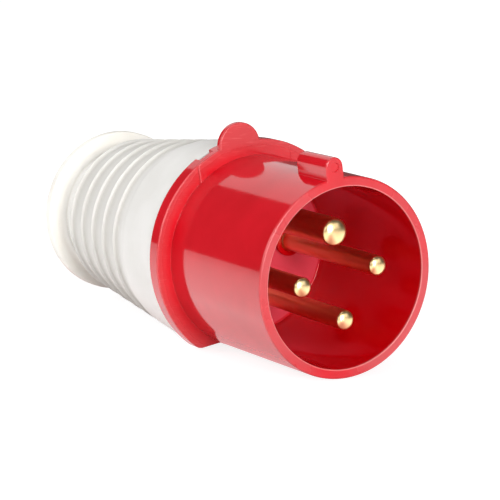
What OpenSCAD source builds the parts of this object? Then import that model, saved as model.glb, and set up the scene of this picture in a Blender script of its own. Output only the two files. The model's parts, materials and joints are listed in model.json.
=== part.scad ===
/* [Sleeve] */
// outside radius of the sleeve at its rim
sleeve_r = 25; // [24:0.25:26]
// length of the sleeve from the collar's front face to the rim
sleeve_len = 41.5; // [39:0.5:44]
// wall of the sleeve at its rim
sleeve_wall = 2.4; // [2.1:0.1:2.6]
// growth of the outside radius from the rim to the collar
outer_draft = 0.3; // [0.1:0.1:0.5]
// loss of the inside radius from the rim to the floor
inner_draft = 0.5; // [0.2:0.1:0.6]
// rounding of the rim's two edges
rim_round = 0.55; // [0.3:0.05:0.8]
// depth of the sleeve's floor behind the collar's front face
floor_back = 2; // [1.6:0.2:2.2]
// thickness of the floor
floor_t = 3; // [2.8:0.1:3.2]

/* [Collar] */
// how far the collar stands out of the sleeve
collar_over = 4.3; // [4:0.1:4.6]
// thickness of the collar
collar_t = 4; // [3.8:0.1:4.4]
// rounding of the collar's outer edges
collar_round = 0.4; // [0.2:0.1:0.6]
// how far the collar's flat lies inside the sleeve's radius
flat_in = 3.6; // [3.2:0.1:4]
// corner radius at the two ends of the flat
flat_corner_r = 3; // [2:0.25:3.5]
// radius of the ear above the key
ear_r = 6; // [5.5:0.25:6.5]
// how far the ear's centre lies outside the sleeve
ear_out = 3.3; // [3:0.1:3.6]
// turn of the ear away from the key's middle
ear_turn = 2; // [0:0.5:3]
// thickness of the ear
ear_t = 1.8; // [1.6:0.1:2]
// half the width of the raised pad behind the key
pad_half_w = 13.85; // [13:0.25:14.5]
// height of the raised pad
pad_h = 0.45; // [0.3:0.05:0.6]
// thickness of the front plate that crosses the notch
notch_plate = 1.6; // [1.4:0.1:1.8]
// angle from the key to the notch's near side
notch_start = 15.6; // [15:0.2:17]
// angle that the notch spans
notch_span = 8.8; // [8:0.2:10]
// depth of the notch from the collar's edge
notch_depth = 3; // [2.6:0.1:3.2]

/* [Key] */
// width of the key
key_w = 4.9; // [4.5:0.1:5.3]
// height of the key above the sleeve
key_h = 5.2; // [4.9:0.1:5.5]
// length of the key from the rim back
key_len = 13; // [12:0.5:14]
// radius of the mark in the key's front face
key_mark_r = 1.2; // [1:0.05:1.4]
// depth of that mark
key_mark_depth = 0.15; // [0.1:0.05:0.2]

/* [Contacts] */
// radius of the circle that the contact pins stand on
pin_circle_r = 11.2; // [11:0.1:11.4]
// radius of a phase pin
phase_r = 2.5; // [2.4:0.05:2.6]
// radius of the earth pin
earth_r = 3.5; // [3.4:0.05:3.6]
// how far the pins' tips lie behind the rim
tip_recess = 1.8; // [1.4:0.1:3]
// height of a tip's dome over the pin's radius
dome_ratio = 0.5; // [0.4:0.05:0.7]
// height of the raised rings round the pins' roots
root_ring_h = 1.4; // [1:0.1:1.8]
// wall of a raised ring
root_ring_wall = 1.4; // [1.2:0.1:1.6]
// wall of a terminal barrel round its wire bore
barrel_wall = 1.9; // [1.8:0.05:1.95]
// radius of a phase barrel's wire bore
phase_wire_r = 2.1; // [2:0.05:2.2]
// radius of the earth barrel's wire bore
earth_wire_r = 2.8; // [2.7:0.05:2.9]
// length of a terminal barrel
barrel_len = 15.5; // [15:0.1:16]
// depth of the wire bore from the barrel's rear
wire_bore_len = 11.5; // [11:0.1:12]

/* [Carrier] */
// thickness of the contact carrier's plate
plate_t = 3.8; // [3.6:0.1:4]
// wall of the carrier's barrel towers
tower_wall = 1.2; // [1.1:0.05:1.25]
// thickness of the lip behind each barrel
lip_t = 1.8; // [1.6:0.1:2]
// thickness of the barriers between the towers
barrier_t = 1.6; // [1.4:0.1:1.8]
// height of the barriers behind the plate
barrier_h = 11; // [10:0.5:12]
// radius of a terminal screw's shank
term_r = 1.7; // [1.6:0.05:1.75]
// radius of a terminal screw's head
term_head_r = 2.7; // [2.6:0.05:2.8]
// height of a screw head
head_h = 1.4; // [1.3:0.05:1.45]
// radius of a carrier screw's shank
fix_r = 1.25; // [1.2:0.05:1.3]
// radius of a carrier screw's head
fix_head_r = 3.3; // [3.2:0.05:3.4]
// radius of the posts that take the carrier screws
post_r = 2.4; // [2.3:0.05:2.5]
// thickness of a wire guard
guard_t = 0.5; // [0.4:0.05:0.6]

/* [Handle] */
// how far the handle's front end stands out of the sleeve's radius
handle_over = 3.6; // [3.3:0.1:3.8]
// outside radius of the handle at its last rib
handle_rear_r = 22; // [21.8:0.1:22.4]
// number of ribs
ribs = 5; // [4:1:6]
// distance between two ribs
rib_pitch = 7.8; // [7.5:0.1:8]
// depth of the grooves between the ribs
groove_depth = 0.75; // [0.5:0.05:0.9]
// width of a rib's crest
crest_w = 0.7; // [0.5:0.05:0.9]
// where a groove is deepest: lower values lean it towards the rear
groove_lean = 0.55; // [0.5:0.05:0.8]
// distance from the handle's front end to its last rib
rib_zone_end = 57.5; // [56:0.1:59]
// wall of the handle
handle_wall = 2.5; // [2.3:0.1:2.7]
// length of the housing's skirt inside the handle
skirt_len = 13; // [12.8:0.1:13.4]
// wall of the housing's skirt
skirt_wall = 2.4; // [2.2:0.1:2.5]
// distance from the axis to the outside of the skirt's flat
skirt_flat = 19.2; // [19.1:0.05:19.3]
// height of the snap beads on the skirt
bead_h = 0.7; // [0.5:0.05:0.9]
// angle that a snap bead spans
bead_span = 30; // [24:1:36]
// wall of the gasket across the handle's front face
gasket_w = 1; // [0.8:0.05:1.1]
// wall of the handle at its flat
flat_wall = 2; // [1.8:0.05:2.1]
// radius of the locking screw's shank
lock_r = 1.4; // [1.3:0.05:1.5]
// radius of the locking screw's head
lock_head_r = 2.9; // [2.7:0.05:3]
// how far that head is sunk into the handle
lock_sink = 0.6; // [0.4:0.1:0.8]

/* [Cable gland] */
// length of the neck behind the last rib
neck_len = 10.5; // [10:0.1:11]
// outside radius of the neck where the nut covers it
neck_r = 18.2; // [18:0.1:18.4]
// step from the neck to the tail that the nut is screwed on
tail_step = 2.2; // [2:0.1:2.4]
// length of the tail
tail_len = 7.8; // [7.4:0.1:8.2]
// wall of the tail round the seal
tail_wall = 3.6; // [3.4:0.1:3.8]
// radius of the wire opening in front of the seal
throat_r = 9.5; // [9.2:0.1:9.8]
// radius of the seal's bore
seal_bore_r = 6.5; // [6:0.25:7]
// how far the nut's flange stands out of the neck
flange_over = 4.6; // [4.2:0.1:5]
// thickness of the nut's flange
flange_t = 3.2; // [3:0.1:3.4]
// radius of the cove between the flange and its lip
cove_r = 1.3; // [1.1:0.1:1.5]
// how far the nut's body stands out of the neck behind the flange
nut_over = 2.8; // [2.6:0.1:3]
// width of the nut's rear face round the cable opening
nut_end_w = 5.2; // [4.8:0.1:5.6]
// number of grip ribs on the nut
grips = 16; // [10:1:20]
// width of a grip rib
grip_w = 2; // [1.6:0.1:2.4]
// height of a grip rib
grip_h = 0.8; // [0.6:0.1:1]
// number of fingers on the cable clamp
fingers = 8; // [6:1:10]
// width of the slots between the fingers
finger_gap = 1.6; // [1.4:0.1:2]
// thickness of the thrust washer
washer_t = 1.5; // [1.3:0.1:1.7]
// thickness of the nut's end wall
end_wall = 2.5; // [2.3:0.1:2.7]
// wall of the clamp's claws round the cable
claw_wall = 2.4; // [2.2:0.1:2.6]

/* [Posture] */
// turn about the axis that lets the sleeve and one corner of the flat rest on a table
rest_roll = 11; // [0:0.1:12]

/* [Hidden] */
$fn = 96;
fit = 0.3;                 // clearance between bodies of revolution
snug = 0.15;               // clearance between seated pieces
shank_fit = 0.05;          // radial clearance of a screw in its thread
cut = 1;                   // overrun of a cutter
arc_steps = 5;
edge = 0.3;                // small chamfer
contacts = 4;
quarter = 360 / contacts;
bead_at = [0, 105, -105];  // angles of the snap beads
bead_t = 2;
bead_z = 4;                // from the collar's rear face to the beads
gasket_t = 1.7;            // gasket's height
lock_at = -100;            // where the locking screw sits
lock_from_end = 3;         // from its axis to the skirt's rear end
skirt_in = 1.1;            // how far the skirt lies inside the sleeve's root
seal_lead = 1;             // chamfers of the seal's bore
slot_w = 0.8;              // screwdriver slots
slot_depth = 0.8;
handle_gap = 0.2;          // clearance between the flats of the skirt and the handle
seal_len = 9.5;
neck_in_nut = 1;           // how far the neck reaches into the flange
clamp_over = 0.6;          // the claws' base and washer stand out of the gland's bore
clamp_fit = 0.35;          // their clearance in the nut
head_gap = 0.25;           // from a terminal barrel to its screw's head
pin_shoulder = 0.3;        // a pin is this much thicker in the housing
shoulder_out = 0.5;        // and this far in front of its root ring
claw_over = 0.5;           // the claws and washer are this much wider than the cable opening
post_in = 6;               // the carrier screws lie this far inside the plate's edge
throat_front = 2.3;        // from the last rib to the throat's rear step
throat_len = 4;
wide = 200;                // larger than the part

rim_z = sleeve_len;
root_r = sleeve_r + outer_draft;
inner_rim_r = sleeve_r - sleeve_wall;
inner_root_r = inner_rim_r - inner_draft;
floor_z = -floor_back;
floor_rear = floor_z - floor_t;
collar_r = sleeve_r + collar_over;
handle_front_r = sleeve_r + handle_over;
collar_rear = -collar_t;
flat_x = sleeve_r - flat_in;
ear_x = sleeve_r + ear_out;
key_top = sleeve_r + key_h;
skirt_r = root_r - skirt_in;
skirt_in_r = skirt_r - skirt_wall;
skirt_rear = collar_rear - skirt_len;
tip_z = rim_z - tip_recess;
barrel_front = floor_rear - snug;
barrel_rear = barrel_front - barrel_len;
screw_z = barrel_rear + wire_bore_len / 2;
plate_rear = barrel_front - plate_t;
tower_rear = barrel_rear - snug - lip_t;
plate_r = skirt_in_r - fit;
post_x = plate_r - post_in;
handle_z = collar_rear - snug;
skirt_in_flat = skirt_flat - skirt_wall + handle_gap;
bore_flat = skirt_flat + handle_gap;
handle_flat = bore_flat + flat_wall;
fix_len = floor_z - plate_rear - 2 * cut;
lock_z = skirt_rear + lock_from_end;
rib_1_z = handle_z - rib_zone_end;
cavity_z = skirt_rear - fit;
cavity_r = skirt_r + fit - edge;
cavity_end_r = handle_rear_r - handle_wall - groove_depth;
neck_fall = neck_len - crest_w / 2;        // the neck narrows over this length
neck_sweep = 1.6;                          // and by this power
groove_steps = 10;
inner_corner_r = 1.5;                      // corners of the inner flats
throat_z = rib_1_z + throat_front;
seal_z = throat_z - throat_len;
claw_tip = seal_z - seal_len;
tail_r = neck_r - tail_step;
gland_bore_r = tail_r - tail_wall;
flange_r = neck_r + flange_over;
nut_r = neck_r + nut_over;
clamp_r = gland_bore_r + clamp_over;
claw_bore_r = gland_bore_r - fit - claw_wall;
entry_r = claw_bore_r - claw_over;         // radius of the cable opening
nut_end_r = entry_r + nut_end_w;
neck_z = rib_1_z - neck_len;
neck_end = neck_z - neck_in_nut;
flange_z = neck_z - fit;
flange_rear = flange_z - flange_t;
tail_end = neck_end - tail_len;
claw_base_t = 1.7;
claw_rear = tail_end - snug - claw_base_t;
washer_rear = claw_rear - snug - washer_t;
nut_wall_z = washer_rear - snug;
nut_end = nut_wall_z - end_wall;
chamber_r = tail_r + fit;

function pin_r(i) = i == 0 ? earth_r : phase_r;
function wire_r(i) = i == 0 ? earth_wire_r : phase_wire_r;
function barrel_r(i) = wire_r(i) + barrel_wall;
function tower_r(i) = barrel_r(i) + snug + tower_wall;
function head_x(i) = barrel_r(i) + head_gap;   // underside of a terminal screw's head
function guard_x(i) = wire_r(i) - 2 * guard_t;
function arc(x, z, r, a0, a1, steps = arc_steps) =
    [for (i = [0:steps]) let (a = a0 + (a1 - a0) * i / steps) [x + r * cos(a), z + r * sin(a)]];
function hole_r(i) = pin_r(i) + pin_shoulder + snug;   // a pin's hole in the housing
function cone_r(z) = handle_front_r - (handle_front_r - handle_rear_r) * (handle_z - z) / rib_zone_end;
lock_x = cone_r(lock_z) - lock_sink - head_h;      // seat of the locking screw's head
function groove(i) = let (z0 = rib_1_z + i * rib_pitch, run = rib_pitch - crest_w)
    [for (k = [0:groove_steps]) let (u = k / groove_steps, z = z0 + crest_w / 2 + run * u)
        [cone_r(z) - groove_depth * sin(180 * pow(u, groove_lean)), z]];

module lay() rotate([rest_roll, 0, 0]) rotate([0, 90, 0]) rotate([0, 0, 180]) children();
module at_pin(i) rotate([0, 0, quarter * i]) translate([pin_circle_r, 0, 0]) children();
module tube(r, r_in, z0, z1) translate([0, 0, min(z0, z1)]) difference() {
    cylinder(r = r, h = abs(z1 - z0));
    translate([0, 0, -cut]) cylinder(r = r_in, h = abs(z1 - z0) + 2 * cut);
}
module rod(r, z0, z1) translate([0, 0, min(z0, z1)]) cylinder(r = r, h = abs(z1 - z0));
module sector(r_in, r, z0, z1, span) rotate([0, 0, -span / 2]) rotate_extrude(angle = span)
    polygon([[r_in, z0], [r, z0], [r, z1], [r_in, z1]]);
module slotted_screw(shank_r, shank_len, head_r) difference() {
    union() {
        rod(head_r, 0, head_h);
        rod(shank_r, 0, -shank_len);
    }
    translate([-head_r - cut, -slot_w / 2, head_h - slot_depth])
        cube([2 * (head_r + cut), slot_w, slot_depth + cut]);
}

// a circle with a flat on its lower side and two rounded corners
module flatted(r, flat, corner) {
    cx = corner - flat;
    cy = sqrt(pow(r - corner, 2) - cx * cx);
    tx = cx * r / (r - corner);
    ty = cy * r / (r - corner);
    intersection() {
        circle(r);
        translate([tx, -r]) square([2 * r, 2 * r]);
    }
    polygon([[tx, ty], [cx, cy], [-flat, cy], [-flat, -cy], [cx, -cy], [tx, -ty], [0, -ty], [0, ty]]);
    for (s = [-1, 1]) translate([cx, s * cy]) circle(corner);
}
module flatted_rod(r, flat, z0, z1) translate([0, 0, min(z0, z1)])
    linear_extrude(abs(z1 - z0)) flatted(r, flat, inner_corner_r);
module above(flat) intersection() {
    children();
    translate([-flat, -wide / 2, -wide]) cube(wide);
}
module collar() {
    rim = [[0, 0], [collar_r - collar_round, 0]];
    intersection() {
        translate([0, 0, collar_rear]) linear_extrude(collar_t + pad_h)
            flatted(collar_r, flat_x, flat_corner_r);
        union() {
            rotate_extrude() polygon(concat(rim,
                arc(collar_r - collar_round, -collar_round, collar_round, 90, 0),
                arc(collar_r - collar_round, collar_rear + collar_round, collar_round, 0, -90),
                [[0, collar_rear]]));
            intersection() {
                rotate_extrude() polygon(concat([[0, -cut], [0, pad_h]],
                    arc(collar_r - collar_round, pad_h - collar_round, collar_round, 90, 0),
                    [[collar_r, -cut]]));
                translate([0, -pad_half_w, -cut]) cube([2 * collar_r, 2 * pad_half_w, 2 * cut]);
            }
        }
    }
    rotate([0, 0, ear_turn]) translate([ear_x, 0, 0]) rotate_extrude()
        polygon([[0, pad_h - ear_t], [ear_r - edge, pad_h - ear_t], [ear_r, pad_h - ear_t + edge],
            [ear_r, pad_h - edge], [ear_r - edge, pad_h], [0, pad_h]]);
}
module key() {
    crown = key_w / 2;
    translate([0, 0, rim_z - key_len]) linear_extrude(key_len) {
        translate([inner_rim_r + rim_round + edge, -crown])
            square([key_top - crown - inner_rim_r - rim_round - edge, key_w]);
        translate([key_top - crown, 0]) circle(crown);
    }
}
module front_housing() color("#c8202c") difference() {
    union() {
        rotate_extrude() polygon(concat([[0, floor_z]],
            arc(inner_root_r - edge, floor_z + edge, edge, -90, 0),
            arc(inner_rim_r + rim_round, rim_z - rim_round, rim_round, 180, 90),
            arc(sleeve_r - rim_round, rim_z - rim_round, rim_round, 90, 0),
            [[root_r, 0], [root_r, collar_rear], [0, collar_rear]]));
        difference() {
            flatted_rod(skirt_r, skirt_flat, collar_rear + cut, skirt_rear);
            flatted_rod(skirt_in_r, skirt_in_flat, floor_rear, skirt_rear - cut);
        }
        difference() {
            collar();
            rod(root_r - edge, collar_rear - cut, pad_h + cut);
        }
        key();
        for (i = [0:contacts - 1]) at_pin(i)
            rod(hole_r(i) + root_ring_wall, floor_z - cut, floor_z + root_ring_h);
        for (s = [0, 1]) rotate([0, 0, quarter / 2 + 180 * s]) translate([post_x, 0, 0])
            rod(post_r, floor_rear + cut, plate_rear + snug);
        for (a = bead_at) rotate([0, 0, a])
            sector(skirt_r - edge, skirt_r + bead_h, collar_rear - bead_z,
                collar_rear - bead_z - bead_t, bead_span);
    }
    for (i = [0:contacts - 1]) at_pin(i) rod(hole_r(i), floor_rear - cut, floor_z + root_ring_h + cut);
    for (s = [0, 1]) rotate([0, 0, quarter / 2 + 180 * s]) translate([post_x, 0, 0])
        rod(fix_r + shank_fit, plate_rear - cut, floor_z - cut);
    rotate([0, 0, notch_start]) rotate_extrude(angle = notch_span)
        polygon([[collar_r - notch_depth, -notch_plate], [collar_r + cut, -notch_plate],
            [collar_r + cut, collar_rear - cut], [collar_r - notch_depth, collar_rear - cut]]);
    translate([key_top - key_w / 2, 0, 0]) rod(key_mark_r, rim_z - key_mark_depth, rim_z + cut);
    rotate([0, 0, lock_at]) translate([skirt_in_r - cut, 0, lock_z]) rotate([0, 90, 0])
        cylinder(r = lock_r + shank_fit, h = skirt_wall + 2 * cut);
}
module contact_carrier() color("#2b2b2e") difference() {
    union() {
        flatted_rod(plate_r, skirt_in_flat - fit, barrel_front, plate_rear);
        for (i = [0:contacts - 1]) at_pin(i) rod(tower_r(i), plate_rear + cut, tower_rear);
        rotate([0, 0, -quarter / 2]) translate([-plate_r + fit, -barrier_t / 2, plate_rear - barrier_h])
            cube([2 * (plate_r - fit), barrier_t, barrier_h + cut]);
    }
    for (i = [0:contacts - 1]) at_pin(i) {
        rod(barrel_r(i) + snug, barrel_front + cut, barrel_rear - snug);
        rod(wire_r(i) + 3 * guard_t, barrel_rear, tower_rear - cut);
        translate([0, 0, screw_z]) rotate([0, 90, 0]) cylinder(r = term_head_r + fit, h = tower_r(i) + cut);
    }
    for (s = [0, 1]) rotate([0, 0, quarter / 2 + 180 * s]) translate([post_x, 0, 0])
        rod(post_r + snug, barrel_front + cut, plate_rear - cut);
}
module contact_pin(i) color("#d9a441") at_pin(i) difference() {
    dome = dome_ratio * pin_r(i);
    shoulder_z = floor_z + root_ring_h + shoulder_out;
    rotate_extrude() polygon(concat(
        [for (k = [0:2 * arc_steps]) let (a = 90 * k / (2 * arc_steps))
            [pin_r(i) * sin(a), tip_z - dome + dome * cos(a)]],
        [[pin_r(i), shoulder_z], [pin_r(i) + pin_shoulder, shoulder_z - pin_shoulder],
        [pin_r(i) + pin_shoulder, barrel_front], [barrel_r(i) - edge, barrel_front],
        [barrel_r(i), barrel_front - edge], [barrel_r(i), barrel_rear], [0, barrel_rear]]));
    rod(wire_r(i), barrel_rear - cut, barrel_rear + wire_bore_len);
    translate([0, 0, screw_z]) rotate([0, 90, 0]) cylinder(r = term_r + shank_fit, h = barrel_r(i) + cut);
}
module terminal_screw(i) color("#b9bcc0") at_pin(i) translate([head_x(i), 0, screw_z]) rotate([0, 90, 0])
    slotted_screw(term_r, head_x(i) - guard_x(i) - guard_t - shank_fit, term_head_r);
// a leaf under the screw's tip, hooked over the barrel's rear face
module wire_guard(i) color("#c9cbcd") at_pin(i) {
    half = sqrt(pow(wire_r(i), 2) - pow(guard_x(i) + guard_t, 2)) - shank_fit;
    hook = wire_r(i) + 2 * guard_t - guard_x(i);
    translate([guard_x(i), -half, barrel_rear - shank_fit - guard_t])
        cube([guard_t, 2 * half, wire_bore_len - 2 * guard_t]);
    translate([guard_x(i), -half, barrel_rear - shank_fit - guard_t]) cube([hook, 2 * half, guard_t]);
}
module carrier_screw(s) color("#b9bcc0") rotate([0, 0, quarter / 2 + 180 * s])
    translate([post_x, 0, plate_rear]) rotate([180, 0, 0])
    slotted_screw(fix_r, fix_len, fix_head_r);
module housing_gasket() color("#3a3a3a") difference() {
    flatted_rod(skirt_r + fit + gasket_w, bore_flat + gasket_w, collar_rear, collar_rear - gasket_t);
    flatted_rod(skirt_r + snug, skirt_flat + snug / 2, collar_rear + cut, collar_rear - gasket_t - cut);
}
module handle() color("#e2e2e0") difference() {
    above(handle_flat) rotate_extrude() polygon(concat(
        [[0, handle_z], [handle_front_r - edge, handle_z], [handle_front_r, handle_z - edge],
        [cone_r(rib_1_z + ribs * rib_pitch - crest_w / 2), rib_1_z + ribs * rib_pitch - crest_w / 2]],
        [for (i = [ribs - 1:-1:0], k = [groove_steps:-1:0]) groove(i)[k]],
        [for (k = [0:groove_steps]) let (u = k / groove_steps)
            [neck_r + (handle_rear_r - neck_r) * pow(1 - u, neck_sweep), rib_1_z - crest_w / 2 - neck_fall * u]],
        [[neck_r, neck_end], [tail_r, neck_end], [tail_r, tail_end + edge], [tail_r - edge, tail_end],
        [0, tail_end]]));
    flatted_rod(skirt_r + fit, bore_flat, handle_z + cut, cavity_z);
    above(bore_flat) rotate_extrude() polygon([[0, cavity_z + cut], [cavity_r, cavity_z + cut],
        [cavity_r, cavity_z], [cavity_end_r, throat_z + handle_wall], [0, throat_z + handle_wall]]);
    rod(throat_r, throat_z + handle_wall + cut, seal_z - cut);
    rod(gland_bore_r, seal_z, tail_end - cut);
    flatted_rod(skirt_r + fit + gasket_w + snug, bore_flat + gasket_w + snug, handle_z + cut,
        collar_rear - gasket_t - snug);
    above(bore_flat) rod(skirt_r + bead_h + fit, collar_rear - bead_z + fit,
        collar_rear - bead_z - bead_t - fit);
    rotate([0, 0, lock_at]) translate([skirt_r, 0, lock_z]) rotate([0, 90, 0]) {
        cylinder(r = lock_r + snug, h = collar_r);
        translate([0, 0, lock_x - skirt_r]) cylinder(r = lock_head_r + snug, h = collar_r);
    }
}
module locking_screw() color("#b9bcc0") rotate([0, 0, lock_at])
    translate([lock_x, 0, lock_z]) rotate([0, 90, 0])
    slotted_screw(lock_r, lock_x - skirt_in_r, lock_head_r);
module gland_seal() color("#4a4a4c") rotate_extrude() polygon([[seal_bore_r + seal_lead, seal_z - snug],
    [gland_bore_r - snug - edge, seal_z - snug], [gland_bore_r - snug, seal_z - snug - edge],
    [gland_bore_r - snug, claw_tip + snug], [seal_bore_r + seal_lead, claw_tip + snug],
    [seal_bore_r, claw_tip + snug + seal_lead], [seal_bore_r, seal_z - snug - seal_lead]]);
module clamp_claws() color("#8f9194") difference() {
    union() {
        tube(clamp_r, claw_bore_r, tail_end - snug, claw_rear);
        tube(gland_bore_r - fit, claw_bore_r, claw_tip, claw_rear);
    }
    for (i = [0:fingers - 1]) rotate([0, 0, 360 / fingers * i])
        translate([0, -finger_gap / 2, tail_end - snug])
            cube([gland_bore_r + cut, finger_gap, claw_tip - tail_end + cut]);
}
module thrust_washer() color("#d8d8d6") tube(clamp_r, claw_bore_r, claw_rear - snug, washer_rear);
module nut_body(over) rotate_extrude() polygon(concat(
    [[0, flange_z - edge], [nut_r + over, flange_z - edge], [nut_r + over, flange_rear]],
    arc(nut_end_r + over - 2 * edge, nut_end + 2 * edge, 2 * edge, 0, -90), [[0, nut_end]]));
module gland_nut() color("#fbf5ea") difference() {
    union() {
        rotate_extrude() polygon(concat([[0, flange_z + cove_r], [neck_r + fit + edge, flange_z + cove_r]],
            arc(neck_r + fit + edge + cove_r, flange_z + cove_r, cove_r, 180, 270),
            arc(flange_r - 2 * edge, flange_z - 2 * edge, 2 * edge, 90, 0),
            arc(flange_r - 2 * edge, flange_rear + 2 * edge, 2 * edge, 0, -90), [[0, flange_rear]]));
        nut_body(0);
        intersection() {
            nut_body(grip_h);
            for (i = [0:grips - 1]) rotate([0, 0, 360 / grips * i])
                translate([entry_r + edge, -grip_w / 2, nut_end])
                    cube([flange_r, grip_w, flange_z - edge - nut_end]);
        }
    }
    rotate_extrude() polygon([[0, nut_end - cut], [entry_r + edge, nut_end - cut], [entry_r + edge, nut_end],
        [entry_r, nut_end + edge], [entry_r, nut_wall_z], [clamp_r + clamp_fit, nut_wall_z],
        [clamp_r + clamp_fit, tail_end - fit], [chamber_r, tail_end - fit],
        [chamber_r, neck_end - fit], [neck_r + fit, neck_end - fit],
        [neck_r + fit, flange_z + cove_r + cut], [0, flange_z + cove_r + cut]]);
}

lay() {
    front_housing();
    contact_carrier();
    contact_pin(0);  // earth_pin
    contact_pin(1);  // phase_pin_1
    contact_pin(2);  // phase_pin_2
    contact_pin(3);  // phase_pin_3
    terminal_screw(0);  // earth_terminal_screw
    terminal_screw(1);  // phase_terminal_screw_1
    terminal_screw(2);  // phase_terminal_screw_2
    terminal_screw(3);  // phase_terminal_screw_3
    wire_guard(0);  // earth_wire_guard
    wire_guard(1);  // phase_wire_guard_1
    wire_guard(2);  // phase_wire_guard_2
    wire_guard(3);  // phase_wire_guard_3
    carrier_screw(0);  // carrier_screw_1
    carrier_screw(1);  // carrier_screw_2
    housing_gasket();
    handle();
    locking_screw();
    gland_seal();
    clamp_claws();
    thrust_washer();
    gland_nut();
}
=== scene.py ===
import json
import math

import bmesh
import bpy
import numpy as np
from mathutils import Matrix, Vector


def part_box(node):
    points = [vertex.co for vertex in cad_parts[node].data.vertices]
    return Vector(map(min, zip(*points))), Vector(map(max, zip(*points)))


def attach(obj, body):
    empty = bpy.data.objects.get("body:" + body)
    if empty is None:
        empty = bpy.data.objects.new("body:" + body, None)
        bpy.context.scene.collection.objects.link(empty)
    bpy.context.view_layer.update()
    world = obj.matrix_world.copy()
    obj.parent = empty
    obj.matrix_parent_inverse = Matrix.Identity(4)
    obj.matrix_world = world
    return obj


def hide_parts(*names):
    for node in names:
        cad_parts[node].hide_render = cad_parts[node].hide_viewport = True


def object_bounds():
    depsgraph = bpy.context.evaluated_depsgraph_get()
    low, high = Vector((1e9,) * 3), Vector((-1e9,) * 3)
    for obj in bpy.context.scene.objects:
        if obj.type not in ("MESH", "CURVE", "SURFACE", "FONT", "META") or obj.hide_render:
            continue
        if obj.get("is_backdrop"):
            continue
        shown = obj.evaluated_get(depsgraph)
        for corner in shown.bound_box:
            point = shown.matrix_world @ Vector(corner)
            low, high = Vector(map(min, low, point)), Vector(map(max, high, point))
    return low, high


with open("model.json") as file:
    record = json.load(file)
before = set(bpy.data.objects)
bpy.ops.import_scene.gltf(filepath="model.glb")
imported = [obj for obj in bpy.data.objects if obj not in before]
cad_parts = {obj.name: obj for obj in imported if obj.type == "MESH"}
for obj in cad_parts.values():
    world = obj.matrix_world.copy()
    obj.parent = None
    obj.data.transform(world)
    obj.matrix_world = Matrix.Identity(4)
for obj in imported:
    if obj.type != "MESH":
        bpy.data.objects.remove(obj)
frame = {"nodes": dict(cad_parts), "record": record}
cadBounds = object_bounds()
nodes = frame["nodes"]
scene = bpy.context.scene
mm = 0.001

# the part's own frame, in mm: Z along the axis towards the rim, X towards the key
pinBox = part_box("earth_pin")  # stands between the axis and the key, so it tells how far the plug is rolled
keyLean = math.atan2(-(pinBox[0].y + pinBox[1].y), pinBox[0].z + pinBox[1].z)
axisWay = Vector((1, 0, 0))
keyWay = Vector((0, -math.sin(keyLean), math.cos(keyLean)))
layDown = Matrix((keyWay, axisWay.cross(keyWay), axisWay)).transposed().to_4x4() @ Matrix.Scale(mm, 4)
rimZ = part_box("front_housing")[1].x / mm
tipZ = pinBox[1].x / mm
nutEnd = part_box("gland_nut")[0].x / mm
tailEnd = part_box("handle")[0].x / mm
over = 1.0  # mm that a cutter or a buried foot reaches past the surface


def asList(value):
    return [asList(v) for v in value] if hasattr(value, "__len__") else float(value)


def arc(x, z, radius, start, end, steps=6):
    angles = np.radians(np.linspace(start, end, steps + 1))
    return [(x + radius * math.cos(a), z + radius * math.sin(a)) for a in angles]


def cleaned(mesh, merge, shortest=0.0, outward=False, flat=0.0):
    work = bmesh.new()
    work.from_mesh(mesh)
    bmesh.ops.remove_doubles(work, verts=work.verts, dist=merge)
    if shortest:
        bmesh.ops.dissolve_degenerate(work, edges=work.edges, dist=shortest)
    if flat:
        bmesh.ops.dissolve_limit(work, angle_limit=math.radians(flat), verts=work.verts, edges=work.edges)
    if outward:
        bmesh.ops.recalc_face_normals(work, faces=work.faces)
    work.to_mesh(mesh)
    work.free()


def bake(part):  # its modifiers become a plain mesh
    bpy.context.view_layer.update()
    old = part.data
    mesh = bpy.data.meshes.new_from_object(part.evaluated_get(bpy.context.evaluated_depsgraph_get()))
    part.modifiers.clear()
    part.data = mesh
    bpy.data.meshes.remove(old)
    return part


def meshFrom(name, points, faces):
    mesh = bpy.data.meshes.new(name)
    mesh.from_pydata([tuple(map(float, p)) for p in points], [], faces)
    cleaned(mesh, 1e-5, 1e-6, outward=True)
    part = bpy.data.objects.new(name, mesh)
    scene.collection.objects.link(part)
    return part


def spin(name, profile, steps, at=(0, 0)):  # a profile that starts off the axis closes on itself
    turns = [2 * math.pi * k / steps for k in range(steps)]
    points = [(at[0] + r * math.cos(t), at[1] + r * math.sin(t), z) for r, z in profile for t in turns]
    rows = len(profile)
    faces = []
    for i in range(rows if profile[0][0] > 0 else rows - 1):
        j = (i + 1) % rows
        for k in range(steps):
            m = (k + 1) % steps
            faces.append((i * steps + k, i * steps + m, j * steps + m, j * steps + k))
    return meshFrom(name, points, faces)


def inset(outline, depth):
    p = np.array(outline, float)
    ahead, behind = np.roll(p, -1, 0) - p, p - np.roll(p, 1, 0)
    ahead /= np.maximum(np.linalg.norm(ahead, axis=1), 1e-9)[:, None]
    behind /= np.maximum(np.linalg.norm(behind, axis=1), 1e-9)[:, None]
    left = np.stack([-(ahead + behind)[:, 1], (ahead + behind)[:, 0]], 1)
    left /= np.maximum(np.linalg.norm(left, axis=1), 1e-9)[:, None]
    half = np.clip(np.abs((left * np.stack([-ahead[:, 1], ahead[:, 0]], 1)).sum(1)), 0.5, 1)
    return p + left * (depth / half)[:, None]


def roundedEnd(end, inward, radius, steps=4):  # heights of a rounded end, and how far each is drawn in
    if not radius:
        return [(end, 0.0)]
    return [(end + inward * radius * (1 - math.sin(a)), radius * (1 - math.cos(a)))
            for a in np.radians(np.linspace(0, 90, steps + 1))]


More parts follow.
